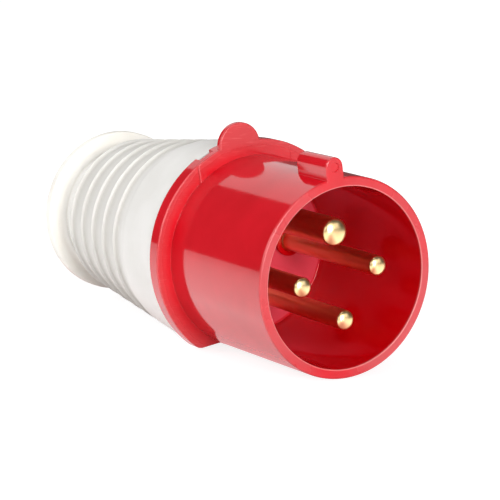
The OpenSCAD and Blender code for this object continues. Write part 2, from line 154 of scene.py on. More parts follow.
def prism(name, outline, low, high, lowRound=0.0, highRound=0.0):
    levels = sorted(roundedEnd(low, 1, lowRound) + roundedEnd(high, -1, highRound))
    count = len(outline)
    points = [(x, y, z) for z, depth in levels for x, y in inset(outline, depth)]
    faces = [tuple(reversed(range(count))), tuple(range((len(levels) - 1) * count, len(levels) * count))]
    for i in range(len(levels) - 1):
        for k in range(count):
            m = (k + 1) % count
            faces.append((i * count + k, i * count + m, (i + 1) * count + m, (i + 1) * count + k))
    return meshFrom(name, points, faces)


def flatted(radius, flat, corner, steps=160):  # a circle with one flat and two rounded corners
    cx = corner - flat
    cy = math.sqrt((radius - corner) ** 2 - cx * cx)
    turn = math.degrees(math.atan2(cy, cx))
    wide = arc(0, 0, radius, -turn, turn, steps - 1)
    upper = arc(cx, cy, corner, turn, 180, 8)[1:]
    lower = arc(cx, -cy, corner, 180, 360 - turn, 8)[:-1]
    straight = [(-flat, y) for y in np.linspace(cy, -cy, 24)[1:-1]]
    return wide + upper + straight + lower


def combine(base, others, kind):
    for other in others:
        step = base.modifiers.new("combine", "BOOLEAN")
        step.operation = kind
        step.solver = "EXACT"
        step.object = other
    bake(base)
    for other in others:
        bpy.data.objects.remove(other)
    return base


def turned(part, degrees, axis="Z"):
    part.data.transform(Matrix.Rotation(math.radians(degrees), 4, axis))
    return part


def moved(part, x=0.0, z=0.0):
    part.data.transform(Matrix.Translation((x, 0, z)))
    return part


view = {
    "place": (448.07, -287.564, 86.924),  # mm, in the scene's frame
    "forward": (-0.83208, 0.53084, -0.1608),
    "up": (-0.16031, 0.04737, 0.98593),
    "lens": 150.0, "sensor": 36.0,  # mm
    "clip": (0.01, 50.0),  # m
}


def makeCamera():
    data = bpy.data.cameras.new("camera")
    data.lens, data.sensor_width = view["lens"], view["sensor"]
    data.clip_start, data.clip_end = view["clip"]
    camera = bpy.data.objects.new("camera", data)
    back = -Vector(view["forward"]).normalized()
    up = Vector(view["up"])
    up = (up - back * up.dot(back)).normalized()
    turn = Matrix((up.cross(back), up, back)).transposed()
    camera.matrix_world = Matrix.Translation(Vector(view["place"]) * mm) @ turn.to_4x4()
    scene.collection.objects.link(camera)
    scene.camera = camera


makeCamera()
print("camera")


def addNode(tree, kind, inputs=None, out=0, **settings):  # gives its output socket
    node = tree.nodes.new(kind)
    for name, value in settings.items():
        setattr(node, name, value)
    for name, value in (inputs or {}).items():
        if hasattr(value, "is_linked"):  # a socket of another node
            tree.links.new(value, node.inputs[name])
        else:
            node.inputs[name].default_value = value
    return node.outputs[out] if node.outputs else node


def ramps(tree, *steps):  # each step reads a socket, from, to, share before, share after; they multiply
    product = None
    for source, low, high, before, after in steps:
        step = addNode(tree, "ShaderNodeMapRange", {
            "Value": source, "From Min": low, "From Max": high, "To Min": before, "To Max": after})
        product = step if product is None else addNode(
            tree, "ShaderNodeMath", {0: product, 1: step}, operation="MULTIPLY")
    return product


def srgb(hexa):
    values = [int(hexa[i:i + 2], 16) / 255 for i in (1, 3, 5)]
    return tuple(v / 12.92 if v <= 0.04045 else ((v + 0.055) / 1.055) ** 2.4 for v in values) + (1.0,)


def layered(tree, colour, layers):  # colours laid over one another, each by its share
    for share, hexa in layers:
        both = {0: share, 6: colour, 7: srgb(hexa)}
        colour = addNode(tree, "ShaderNodeMix", both, 2, data_type="RGBA")
    return colour


def perMm(size):  # a pattern's scale from its real size in mm
    return 1 / (size * mm)


white = srgb("#ffffff")
studio = {
    "fill": 0.12,  # soft light from all round
    "mirrorDim": 0.10,  # what glossy surfaces see between the soft boxes
    "paper": 0.8, "halfFloor": 12.0,  # grey of the paper, and half its side in m
    "seenPaper": 0.3,  # the same paper as the camera sees it, so that the shadow stays faint
    "lift": 0.86, "liftOver": (0.09, 0.22),  # glow that the camera sees, growing to 1 over these m
    "mirrorUnder": 0.8, "mirrorNear": 2.05, "mirrorFar": 1.35,  # mirrored paper under the plug and outwards, dimmer under the plug as a painted shadow
    "besideOver": (0.004, 0.032), "beyondOver": (0.07, 0.30),  # m over which one goes into the next
    "paperEdge": (0.55, 0.58),  # m from the middle where the mirrored paper ends
    "paintedBounceTint": "#ffb3b6", "tintOver": (0.006, 0.03),  # painted red bounce: the paper under the sleeve is painted pink in what glossy surfaces see
}


def makeFloor():
    low, half = cadBounds[0][2], studio["halfFloor"]
    mesh = bpy.data.meshes.new("floor")
    corners = [(-half, -half, low), (half, -half, low), (half, half, low), (-half, half, low)]
    mesh.from_pydata(corners, [], [(0, 1, 2, 3)])
    floor = bpy.data.objects.new("floor", mesh)
    scene.collection.objects.link(floor)
    mat = bpy.data.materials.new("mattWhitePaper")  # even and dull, so that only the plug draws the eye
    mat.use_nodes = True
    tree = mat.node_tree
    tree.nodes.clear()
    ray = addNode(tree, "ShaderNodeLightPath").node.outputs
    place = addNode(tree, "ShaderNodeTexCoord", out="Object")
    off = addNode(tree, "ShaderNodeVectorMath", {0: place}, "Value", operation="LENGTH")
    side = addNode(tree, "ShaderNodeSeparateXYZ", {0: place}, "Y")
    side = addNode(tree, "ShaderNodeMath", {0: side}, operation="ABSOLUTE")

    paper = addNode(tree, "ShaderNodeBsdfDiffuse", {"Color": (studio["paper"],) * 3 + (1,)})
    seenPaper = addNode(tree, "ShaderNodeBsdfDiffuse", {"Color": (studio["seenPaper"],) * 3 + (1,)})
    lift = ramps(tree, (off, *studio["liftOver"], studio["lift"], 1.0))
    lift = addNode(tree, "ShaderNodeEmission", {"Strength": lift})
    seen = addNode(tree, "ShaderNodeAddShader", {0: seenPaper, 1: lift})

    # what glossy surfaces see: the paper glows, with a painted shadow under the plug and a painted pink
    # bounce beside the sleeve
    strength = ramps(tree, (side, *studio["besideOver"], studio["mirrorUnder"], studio["mirrorNear"]))
    strength = ramps(tree, (off, *studio["beyondOver"], strength, studio["mirrorFar"]))
    strength = ramps(tree, (off, *studio["paperEdge"], strength, studio["mirrorDim"]))
    tint = ramps(tree, (side, *studio["tintOver"], 0.0, 1.0))
    tint = layered(tree, srgb(studio["paintedBounceTint"]), [(tint, "#ffffff")])
    mirrored = addNode(tree, "ShaderNodeEmission", {"Strength": strength, "Color": tint})

    both = addNode(tree, "ShaderNodeMixShader", {0: ray["Is Camera Ray"], 1: paper, 2: seen})
    both = addNode(tree, "ShaderNodeMixShader", {0: ray["Is Glossy Ray"], 1: both, 2: mirrored})
    addNode(tree, "ShaderNodeOutputMaterial", {0: both})
    floor.data.materials.append(mat)
    floor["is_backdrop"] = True


def makeWorld():
    world = bpy.data.worlds.new("studio")
    world.use_nodes = True
    tree = world.node_tree
    tree.nodes.clear()
    ray = addNode(tree, "ShaderNodeLightPath").node.outputs
    fill, dim, backdrop = [addNode(tree, "ShaderNodeBackground", {"Color": white, "Strength": strength})
                           for strength in (studio["fill"], studio["mirrorDim"], 1.0)]
    both = addNode(tree, "ShaderNodeMixShader", {0: ray["Is Glossy Ray"], 1: fill, 2: dim})
    both = addNode(tree, "ShaderNodeMixShader", {0: ray["Is Camera Ray"], 1: both, 2: backdrop})
    addNode(tree, "ShaderNodeOutputWorld", {0: both})
    scene.world = world
    scene.view_settings.view_transform = "Standard"


lamps = {
    # azimuth and elevation in degrees, distance and size in m, power in W
    "rearBox": (163, 43, 1.1, (0.78, 1.06), 2.7),  # the pale band along the top of the sleeve
    "rimBox": (25, 20, 1.0, (0.5, 0.5), 1.0),  # the far side of the rim
    "highBox": (-20, 28, 1.1, (0.7, 0.5), 3.6),  # the collar's front and the pins' noses
    "leftBox": (-110, 25, 1.0, (0.5, 0.5), 4.9),  # the near side of handle and nut
    "sideBox": (-62, 18, 1.1, (0.4, 0.4), 1.2),  # the near side of the sleeve
    "topBox": (-60, 72, 1.2, (0.5, 0.5), 1.6),  # the tops of handle, collar and key
    "mouthBox": (-8, 10, 1.1, (0.4, 0.4), 9.6),  # the sleeve's inside
}


def softBox(name, azimuth, elevation, distance, size, power):
    data = bpy.data.lights.new(name, "AREA")
    data.shape = "RECTANGLE"
    data.size, data.size_y = size
    data.energy = power
    lamp = bpy.data.objects.new(name, data)
    a, e = math.radians(azimuth), math.radians(elevation)
    back = Vector((math.cos(e) * math.cos(a), math.cos(e) * math.sin(a), math.sin(e)))
    facing = back.to_track_quat("Z", "Y").to_matrix().to_4x4()
    lamp.matrix_world = Matrix.Translation(back * distance) @ facing
    scene.collection.objects.link(lamp)


makeFloor()
makeWorld()
for name, values in lamps.items():
    softBox(name, *values)
print("stage")


def newLook(title):  # the material, its nodes, its shader and the object coordinates
    mat = bpy.data.materials.new(title)
    mat.use_nodes = True
    tree = mat.node_tree
    return mat, tree, tree.nodes["Principled BSDF"], addNode(tree, "ShaderNodeTexCoord", out="Object")


def relief(tree, shader, layers):  # heights laid over one another: height, strength, depth in mm
    inputs = {}
    for height, strength, depth in layers:
        inputs.update({"Height": height, "Strength": strength, "Distance": depth * mm})
        inputs["Normal"] = addNode(tree, "ShaderNodeBump", inputs)
    tree.links.new(inputs["Normal"], shader.inputs["Normal"])


def axisPlace(tree, where):  # mm along the axis and mm away from it
    along = addNode(tree, "ShaderNodeSeparateXYZ", {0: where}, "X")
    along = addNode(tree, "ShaderNodeMath", {0: along, 1: 1 / mm}, operation="MULTIPLY")
    across = addNode(tree, "ShaderNodeVectorMath", {0: where, 1: (0, 1 / mm, 1 / mm)}, operation="MULTIPLY")
    return along, addNode(tree, "ShaderNodeVectorMath", {0: across}, "Value", operation="LENGTH")


# where the red moulding differs, by wear and by painted light: colour, steps along the axis, steps away from
# it
# a step is from mm, to mm, share before, share after
wearAndPaintedLight = {
    # the inner wall is painted a deeper, more saturated red: painted shade and red inter-reflection inside
    # the sleeve
    "inside": ("#c60008", [(-1.7, -1.0, 0.0, 0.95)], [(22.7, 22.9, 1.0, 0.0)]),
    "rim": ("#b84347", [(rimZ - 0.9, rimZ - 0.15, 0.0, 0.85)], []),  # rubbed paler, and partly a painted sheen, more in some places
    "paintedEdgeHighlight": ("#e8a09d", [(rimZ - 0.3, rimZ - 0.1, 0.0, 0.4)], [(22.75, 22.95, 1.0, 0.0)]),  # painted highlight: a pale line along the rim's inner edge
    # front of the collar, its pad and ear: handling wear, and painted light, paler towards the outer edge
    # with painted shade next to the sleeve
    "face": ("#bd3a3e", [(-0.4, -0.1, 0.0, 0.85), (0.6, 1.2, 1.0, 0.0)], [(25.9, 28.9, 0.1, 1.0)]),
    "floor": ("#d23e50", [(-1.7, -1.3, 0.85, 0.0)], [(21.2, 21.9, 1.0, 0.0)]),  # matt, and painted paler pink for the front light that falls on it
}
rubbed = {
    "patch": 17.0, "patchOver": (0.32, 0.62, 0.25),  # mm of a patch on the rim, rubbed and painted with sheen
    "rougher": 0.304,  # added to the roughness where it is worn
    "scratch": 0.35, "scratchTurn": 0.7, "scratchStretch": 0.08, "scratchOver": (0.58, 0.7),
    "scratchColour": "#ee8a86", "scratchShare": 0.22, "scratchDepth": 0.01, "scratchStrength": 0.5,
}


# the red's wear and its painted light: painted shade inside, a painted highlight on the rim's edge, painted
# sheen on the rim and the collar's face
def wornRedWithPaintedLight(tree, where, colour, gloss):
    along, away = axisPlace(tree, where)
    low, high, least = rubbed["patchOver"]
    patch = addNode(tree, "ShaderNodeTexNoise", {"Vector": where, "Scale": perMm(rubbed["patch"])})
    masks, layers = {}, []
    for place, (shade, stepsAlong, stepsAway) in wearAndPaintedLight.items():
        steps = [(along, *step) for step in stepsAlong] + [(away, *step) for step in stepsAway]
        if place == "rim":
            steps.append((patch, low, high, least, 1.0))
        masks[place] = ramps(tree, *steps)
        layers.append((masks[place], shade))
    drawn = addNode(tree, "ShaderNodeMapping", {
        "Vector": where, "Rotation": (rubbed["scratchTurn"], 0, 0),
        "Scale": (1.0, rubbed["scratchStretch"], 1.0)})
    scratches = addNode(tree, "ShaderNodeTexNoise", {
        "Vector": drawn, "Scale": perMm(rubbed["scratch"]), "Roughness": 0.6})
    scratches = ramps(tree, (scratches, *rubbed["scratchOver"], 0.0, 1.0),
                      (masks["face"], 0.0, 1.0, 0.0, 1.0))
    pale = ramps(tree, (scratches, 0.0, 1.0, 0.0, rubbed["scratchShare"]))
    colour = layered(tree, colour, layers + [(pale, rubbed["scratchColour"])])
    matt = addNode(tree, "ShaderNodeMath", {0: masks["rim"], 1: masks["face"]}, operation="MAXIMUM")
    matt = addNode(tree, "ShaderNodeMath", {0: masks["floor"], 1: matt}, operation="MAXIMUM")
    rougher = {0: matt, 1: rubbed["rougher"], 2: gloss}
    gloss = addNode(tree, "ShaderNodeMath", rougher, operation="MULTIPLY_ADD")
    return colour, gloss, (scratches, rubbed["scratchStrength"], rubbed["scratchDepth"])


handle = {  # mm, and degrees for lockAt; the painted groove shade follows this shape too
    "frontZ": -4.15, "frontR": 28.6, "rearR": 22.0, "edge": 0.5, "smallEdge": 0.3,
    "flat": 21.4, "flatSpan": (-90.0, 5.0),
    "rib1": -61.65, "ribs": 5, "pitch": 7.8, "crest": 0.34, "groove": 0.9, "lean": 0.36, "lastFade": 2.2,
    "neckLen": 10.15, "neckR": 18.2, "neckSweep": 1.6, "neckEnd": -73.15,
    "coreR": 15.5, "threadR": 16.0, "threadPitch": 2.0, "threadTurns": 3.0, "threadEnd": 0.7,
    "glandR": 12.4, "throatR": 9.5, "sealZ": -63.35, "throatZ": -56.85,
    "cavityR": 24.2, "cavityEndR": 18.75, "mouth": 3.0, "skirtZ": -17.3, "boreR": 24.5, "boreFlat": 19.4,
    "seatR": 25.65, "seatFlat": 20.55, "seatZ": -5.85, "corner": 1.5,
    "lockAt": -100.0, "lockZ": -14.0, "lockX": 25.5, "lockR": 3.05, "lockHoleR": 1.55, "lockHoleX": 20.0,
}
# painted shade: the grip's grooves and ribs darkened in colour, heaviest just in front of each crest
grooveShade = {
    "colour": "#cecbc5", "share": 1.0, "ribShadeShare": 0.5,
    "starts": (0.0, 0.03), "thins": (0.08, 0.85, 0.15), "stops": (0.88, 0.93),  # parts of the ribs' pitch
    "rear": 0.2, "crestFrom": 1.5, "crestTo": 0.8,  # mm behind the first crest, where it begins
    "front": (0.9, 0.4),  # pitches before the last crest's end, where it fades
}


def paintedGrooveShade(tree, where, colour):  # painted shade in front of each crest of the grip, and a lighter painted shade over its ribs
    along = axisPlace(tree, where)[0]
    rear, pitch = handle["rib1"], handle["pitch"]
    fade = [rear + (handle["ribs"] - part) * pitch for part in grooveShade["front"]]
    phase = addNode(tree, "ShaderNodeMath", {0: along, 1: 1 / pitch, 2: -(rear + handle["crest"]) / pitch},
                    operation="MULTIPLY_ADD")
    phase = addNode(tree, "ShaderNodeMath", {0: phase}, operation="FRACT")
    low, high, least = grooveShade["thins"]
    dustAndShade = ramps(tree, (phase, *grooveShade["starts"], 0.0, 1.0), (phase, low, high, 1.0, least),
                 (phase, *grooveShade["stops"], 1.0, 0.0), (along, rear - grooveShade["rear"], rear, 0.0, grooveShade["share"]),
                 (along, *fade, 1.0, 0.0))
    # painted shade over the whole ribbed part, which also dims the crests' highlights
    ribShade = (along, rear - grooveShade["crestFrom"], rear - grooveShade["crestTo"], 0.0, grooveShade["ribShadeShare"])
    ribShade = ramps(tree, ribShade, (along, *fade, 1.0, 0.0))
    dustAndShade = addNode(tree, "ShaderNodeMath", {0: dustAndShade, 1: ribShade}, operation="MAXIMUM")
    return layered(tree, colour, [(dustAndShade, grooveShade["colour"])])


plastics = {
    # material, base, shade, roughness low and high, grain in mm, depths of grain and waves in mm, subsurface
    "red_plastic": ("polishedRedPolyamide", "#cb1221", "#bf0e1b", 0.07, 0.12, 0.5, 0.0012, 0.006, 0.06),
    "black_plastic": ("mouldedBlackPolyamide", "#2b2b2e", "#353538", 0.30, 0.42, 0.3, 0.004, 0.01, 0.0),
    "grey_plastic": ("sparkErodedGreyPolyamide", "#ebe9e6", "#e3e1dd", 0.48, 0.60, 0.16, 0.004, 0.012, 0.04),
    "ivory_plastic": ("mouldedIvoryPolyamide", "#f8f5ef", "#f2eee6", 0.34, 0.44, 0.2, 0.005, 0.01, 0.3),
    "claw_plastic": ("mouldedGreyAcetal", "#8f9194", "#84868a", 0.36, 0.48, 0.3, 0.005, 0.01, 0.02),
    "washer_plastic": ("mouldedPaleAcetal", "#dcdcda", "#d0d0ce", 0.36, 0.46, 0.3, 0.004, 0.008, 0.04),
}
# the polished red gives a sharp mirror with slow waves, black a soft sheen, grey a broad dull highlight,
# ivory a faint sheen and a milky edge, and acetal a waxy look
# the eroded and moulded grains are finer in life, and are drawn only as coarse as they need to show
moulding = {
    "cloud": 14.0, "smear": 5.0, "wave": 9.0, "glow": 1.2,  # mm
    "cloudOver": (0.35, 0.65), "smearOver": (0.3, 0.7), "strength": 0.6,
}


def plasticLook(title, base, shade, smooth, rough, grain, grainDepth, waveDepth, inner):
    mat, tree, shader, where = newLook(title)
    cloud = addNode(tree, "ShaderNodeTexNoise", {
        "Vector": where, "Scale": perMm(moulding["cloud"]), "Detail": 3})
    fine = addNode(tree, "ShaderNodeTexNoise", {"Vector": where, "Scale": perMm(grain), "Roughness": 0.6})
    wave = addNode(tree, "ShaderNodeTexNoise", {
        "Vector": where, "Scale": perMm(moulding["wave"]), "Detail": 1})
    smear = addNode(tree, "ShaderNodeTexNoise", {
        "Vector": where, "Scale": perMm(moulding["smear"]), "Detail": 4, "Roughness": 0.65})
    colour = layered(tree, srgb(base), [(ramps(tree, (cloud, *moulding["cloudOver"], 0.0, 1.0)), shade)])
    gloss = ramps(tree, (smear, *moulding["smearOver"], smooth, rough))
    layers = [(wave, moulding["strength"], waveDepth), (fine, moulding["strength"], grainDepth)]
    glow = (1.0, 0.95, 0.9)
    if title == "polishedRedPolyamide":
        # wear, and painted shade, sheen and highlight on the red
        colour, gloss, scratches = wornRedWithPaintedLight(tree, where, colour, gloss)
        layers.append(scratches)
        glow = (1.0, 0.35, 0.25)  # light comes back out red
    # painted shade in the grooves of the grip
    if title == "sparkErodedGreyPolyamide":
        colour = paintedGrooveShade(tree, where, colour)
    tree.links.new(colour, shader.inputs["Base Color"])
    tree.links.new(gloss, shader.inputs["Roughness"])
    shader.inputs["IOR"].default_value = 1.5
    shader.inputs["Subsurface Weight"].default_value = inner
    shader.inputs["Subsurface Radius"].default_value = glow
    shader.inputs["Subsurface Scale"].default_value = moulding["glow"] * mm
    relief(tree, shader, layers)
    return mat


metals = {
    # material, base, second tint, roughness low and high, marks' pitch and depth in mm
    "pin_brass": ("turnedBrass", "#edd09c", "#e6c58e", 0.28, 0.28, None),  # wiped: warm, soft, faint streaks
    "screw_steel": ("zincPlatedSteel", "#c4c7cb", "#b3b5b4", 0.24, 0.40, (0.3, 0.002)),  # cool grey, cloudy
    "guard_steel": ("rolledSteel", "#cfd1d3", "#bfc1c2", 0.22, 0.34, (0.4, 0.001)),  # brighter, fine lines
}
tarnish = {
    "cloud": 2.4, "patch": 0.7, "pit": 0.9,  # mm
    "cloudOver": (0.35, 0.7), "patchOver": (0.3, 0.7), "streak": 0.12,  # streak: its stretch along the pin
    "ringStrength": 0.5, "pitStrength": 0.35, "wander": 0.6,  # wander: how far the rings stray
}


def metalLook(title, base, tint, smooth, rough, marks):
    mat, tree, shader, where = newLook(title)
    shader.inputs["Metallic"].default_value = 1.0
    if not marks:
        where = addNode(tree, "ShaderNodeMapping", {"Vector": where, "Scale": (tarnish["streak"], 1.0, 1.0)})
    cloud = addNode(tree, "ShaderNodeTexNoise", {"Vector": where, "Scale": perMm(tarnish["cloud"])})
    colour = layered(tree, srgb(base), [(ramps(tree, (cloud, *tarnish["cloudOver"], 0.0, 1.0)), tint)])
    tree.links.new(colour, shader.inputs["Base Color"])
    if not marks:  # bare and even: any mark would speckle the small bright noses
        shader.inputs["Roughness"].default_value = smooth
        return mat
    pitch, depth = marks
    patch = addNode(tree, "ShaderNodeTexNoise", {
        "Vector": where, "Scale": perMm(tarnish["patch"]), "Detail": 3})
    gloss = ramps(tree, (patch, *tarnish["patchOver"], smooth, rough))
    tree.links.new(gloss, shader.inputs["Roughness"])
    lines = {"Vector": where, "Scale": 2 * math.pi / (20 * pitch * mm)}  # a wave's own scale is 20 to a turn
    lines.update({"Distortion": tarnish["wander"], "Detail": 1})
    rings = addNode(tree, "ShaderNodeTexWave", lines, "Fac", bands_direction="X")
    pits = addNode(tree, "ShaderNodeTexNoise", {"Vector": where, "Scale": perMm(tarnish["pit"])})
    relief(tree, shader, [(rings, tarnish["ringStrength"], depth), (pits, tarnish["pitStrength"], depth * 2)])
    return mat


rubbers = {
    # material, base, dust, roughness low and high
    "gasket_rubber": ("mouldedBlackRubber", "#3a3a3a", "#474645", 0.58, 0.7),  # dull, with a trace of dust
    "seal_rubber": ("mouldedGreyRubber", "#48484a", "#565654", 0.55, 0.68),  # a little paler and smoother
}
skin = {
    "cloud": 2.5, "grain": 0.12, "depth": 0.01,  # mm
    "dustOver": (0.4, 0.7), "glossOver": (0.3, 0.7), "strength": 0.7,
}


def rubberLook(title, base, dustAndShade, smooth, rough):
    mat, tree, shader, where = newLook(title)
    cloud = addNode(tree, "ShaderNodeTexNoise", {
        "Vector": where, "Scale": perMm(skin["cloud"]), "Detail": 5, "Roughness": 0.6})
    colour = layered(tree, srgb(base), [(ramps(tree, (cloud, *skin["dustOver"], 0.0, 1.0)), dustAndShade)])
    tree.links.new(colour, shader.inputs["Base Color"])
    tree.links.new(ramps(tree, (cloud, *skin["glossOver"], smooth, rough)), shader.inputs["Roughness"])
    grain = addNode(tree, "ShaderNodeTexNoise", {
        "Vector": where, "Scale": perMm(skin["grain"]), "Detail": 3})
    relief(tree, shader, [(grain, skin["strength"], skin["depth"])])
    return mat


made = {}
for group, look in ((plastics, plasticLook), (metals, metalLook), (rubbers, rubberLook)):
    made.update({slot: look(*values) for slot, values in group.items()})
slotOf = {part["node"]: part["material_slot"] for part in frame["record"]["subparts"]}
for name, piece in nodes.items():
    piece.data.materials.clear()
    piece.data.materials.append(made[slotOf[name]])
print("materials")


def dress(part, body, slot, node):  # its material, the body it rides on and the CAD node it stands for
    part.data.materials.clear()
    part.data.materials.append(made[slot])
    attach(part, body)
    if node:
        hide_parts(node)
    print(part.name, len(part.data.polygons))


def finishPiece(part, body, slot, node=None, smooth=40):  # from mm on its own axis to its place in the frame
    cleaned(part.data, 2e-4, 1e-4)
    part.data.transform(layDown)
    part.data.shade_smooth()
    part.data.set_sharp_from_angle(angle=math.radians(smooth))
    weigh = part.modifiers.new("weigh", "WEIGHTED_NORMAL")
    weigh.keep_sharp = True
    weigh.weight = 60
    dress(bake(part), body, slot, node)


housing = {  # mm, and degrees for earTurn, notchFrom and notchTo
    "sleeveR": 25.0, "rootR": 25.3, "mouthR": 22.6, "deepR": 22.1, "rimRound": 0.5, "rimInner": 0.25,
    "fillet": 0.05, "floorZ": -2.0, "floorBack": -5.0, "floorRound": 0.15, "tubeZ": -1.5,
    "tubeR": (24.8, 24.7),  # inside the collar, and at the floor's back
    "collarR": 29.3, "collarBack": -4.0, "flat": 21.4, "flatCorner": 3.0, "collarRound": 0.32,
    "padHalf": 13.85, "padH": 0.45, "padInner": 10.0, "edge": 0.35,
    "earR": 6.0, "earAt": 28.3, "earTurn": 2.0, "earBack": -1.35,
    "keyW": 4.9, "keyTop": 30.2, "keyLen": 13.0, "keyRound": 0.5,
    "keyFoot": 0.7, "keyFootAt": 24.35, "keyInner": 23.4,
    "markR": (1.1, 1.2, 1.25), "markDeep": 0.3, "markLip": 0.05,
    "notchFrom": 15.6, "notchTo": 24.4, "notchIn": 3.0, "notchPlate": 1.6,
    "ringH": 1.4, "ringWall": 1.4, "ringRound": 0.3, "holeFit": 0.2, "holeFlare": 0.25,
    "pinCircle": 11.2, "pinR": (3.5, 2.5, 2.5, 2.5),  # earth pin first
    "skirt": (24.2, 19.2, 1.5, -17.0, -3.5), "skirtBore": (21.8, 17.0, 1.5, -18.0, -5.0), "skirtRound": 0.4,
    "steps": 224, "ringSteps": 64,  # faces round the sleeve and round each pin
}


def onCircle(radius, degrees):
    return [(radius * math.cos(a), radius * math.sin(a)) for a in np.radians(degrees)]


def makeCollar(h):
    collar = prism("collar", flatted(h["collarR"], h["flat"], h["flatCorner"], 176), h["collarBack"], 0,
                   h["collarRound"], h["collarRound"])
    wide = math.degrees(math.asin(h["padHalf"] / h["collarR"]))
    outline = onCircle(h["collarR"], np.linspace(-wide, wide, 56))
    outline += [(h["padInner"], h["padHalf"]), (h["padInner"], -h["padHalf"])]
    pad = prism("pad", outline, -over, h["padH"], 0, h["edge"])
    edge, inner = h["edge"], h["earR"] - h["edge"]
    ear = spin("ear", [(0, h["earBack"])] + arc(inner, h["earBack"] + edge, edge, -90, 0, 4)
               + arc(inner, h["padH"] - edge, edge, 0, 90, 4) + [(0, h["padH"])], 96, (h["earAt"], 0))
    return [collar, pad, turned(ear, h["earTurn"])]


def makeKey(h):  # a rounded crown on a foot that flares into the sleeve
    half, flare, foot = h["keyW"] / 2, h["keyFoot"], h["keyFootAt"]
    side = half + flare
    right = [(h["keyInner"], -side), (foot, -side)] + arc(foot + flare, -side, flare, 180, 90, 5)[1:]
    left = arc(foot + flare, side, flare, 270, 180, 5)[:-1] + [(foot, side), (h["keyInner"], side)]
    crown = arc(h["keyTop"] - half, 0, half, -90, 90, 20)
    return prism("key", right + crown + left, rimZ - h["keyLen"], rimZ, h["keyRound"], h["edge"])


def makeHousing(h):
    lip, root, back = h["rimInner"], h["rootR"] + h["fillet"], h["floorBack"]
    shell = spin("housing_shell", [(0, rimZ)]
                 + arc(h["sleeveR"] - h["rimRound"], rimZ - h["rimRound"], h["rimRound"], 90, 0)
                 + arc(root, h["fillet"], h["fillet"], 180, 270, 5)
                 + [(root, h["tubeZ"]), (h["tubeR"][0], h["collarBack"]), (h["tubeR"][1], back), (0, back)],
                 h["steps"])
    shell = combine(shell, makeCollar(h) + [makeKey(h)], "UNION")
    corner = h["floorRound"]
    cavity = spin("cavity", [(0, h["floorZ"])]
                  + arc(h["deepR"] - corner, h["floorZ"] + corner, corner, -90, 0)
                  + arc(h["mouthR"] + lip, rimZ - lip, lip, 180, 90)
                  + [(h["mouthR"] + lip, rimZ + over), (0, rimZ + over)], h["steps"])
    shell = combine(shell, [cavity], "DIFFERENCE")

    rings, cutters = [], []
    top, low, bend, flare = h["floorZ"] + h["ringH"], h["floorZ"] - over, h["ringRound"], h["holeFlare"]
    for radius, at in zip(h["pinR"], onCircle(h["pinCircle"], (0, 90, 180, 270))):
        hole = radius + h["holeFit"]
        outer = hole + h["ringWall"]
        crown = arc(outer - bend, top - bend, bend, 0, 90, 4)
        rings.append(spin("ring", [(0, low), (outer, low)] + crown + [(0, top)], h["ringSteps"], at))
        bore = [(0, back - over), (hole, back - over), (hole, top - flare), (hole + flare, top),
                (hole + flare, top + over), (0, top + over)]
        cutters.append(spin("hole", bore, h["ringSteps"], at))
    shell = combine(shell, rings, "UNION")
    deep, lower, upper = h["markR"]
    mark = [(0, rimZ - h["markDeep"]), (deep, rimZ - h["markDeep"]), (lower, rimZ - h["markLip"]),
            (upper, rimZ + over), (0, rimZ + over)]
    cutters.append(spin("mark", mark, 40, (h["keyTop"] - h["keyW"] / 2, 0)))
    span = np.linspace(h["notchFrom"], h["notchTo"], 12)
    wedge = onCircle(h["collarR"] - h["notchIn"], span[::-1]) + onCircle(h["collarR"] + 2 * over, span)
    cutters.append(prism("notch", wedge, h["collarBack"] - over, -h["notchPlate"]))
    shell = combine(shell, cutters, "DIFFERENCE")
    return combine(shell, [makeSkirt(h)], "UNION")


def makeSkirt(h):  # the tube behind the collar that goes into the handle
    radius, flat, corner, low, high = h["skirt"]
    skirt = prism("skirt", flatted(radius, flat, corner), low, high, h["skirtRound"])
    radius, flat, corner, low, high = h["skirtBore"]
    return combine(skirt, [prism("skirtBore", flatted(radius, flat, corner), low, high)], "DIFFERENCE")


finishPiece(makeHousing(housing), "plug", "red_plastic", "front_housing", 38)
print("housing")


def geometryTree(name, inputs):  # gives the tree and its input sockets
    tree = bpy.data.node_groups.new(name, "GeometryNodeTree")
    for way in ("INPUT", "OUTPUT"):
        tree.interface.new_socket("Geometry", in_out=way, socket_type="NodeSocketGeometry")
    for label, (kind, value) in inputs.items():
        socket = tree.interface.new_socket(label, in_out="INPUT", socket_type="NodeSocket" + kind)
        if value is not None:
            socket.default_value = value
    return tree, addNode(tree, "NodeGroupInput").node.outputs


def closeTree(tree, shape, material):
    whole = addNode(tree, "GeometryNodeRealizeInstances", {0: shape})
    whole = addNode(tree, "GeometryNodeSetMaterial", {0: whole, "Material": material})
    addNode(tree, "NodeGroupOutput", {0: whole})
    return tree


def grow(part, tree, values):
    step = part.modifiers.new(tree.name, "NODES")
    step.node_group = tree
    sockets = {item.name: item.identifier for item in tree.interface.items_tree if item.in_out == "INPUT"}
    for name, value in values.items():
        step[sockets[name]] = value
    return bake(part)


def ringTree():  # the piece copied round the axis
    tree, given = geometryTree("roundTheAxis", {"Count": ("Int", 16), "Material": ("Material", None)})
    pitch = addNode(tree, "ShaderNodeMath", {0: 2 * math.pi, 1: given["Count"]}, operation="DIVIDE")
    index = addNode(tree, "GeometryNodeInputIndex")
    angle = addNode(tree, "ShaderNodeMath", {0: index, 1: pitch}, operation="MULTIPLY")
    turn = addNode(tree, "ShaderNodeCombineXYZ", {"Z": angle})
    spots = addNode(tree, "GeometryNodePoints", {"Count": given["Count"]})
    copies = addNode(tree, "GeometryNodeInstanceOnPoints", {
        "Points": spots, "Instance": given["Geometry"], "Rotation": turn})
    return closeTree(tree, copies, given["Material"])


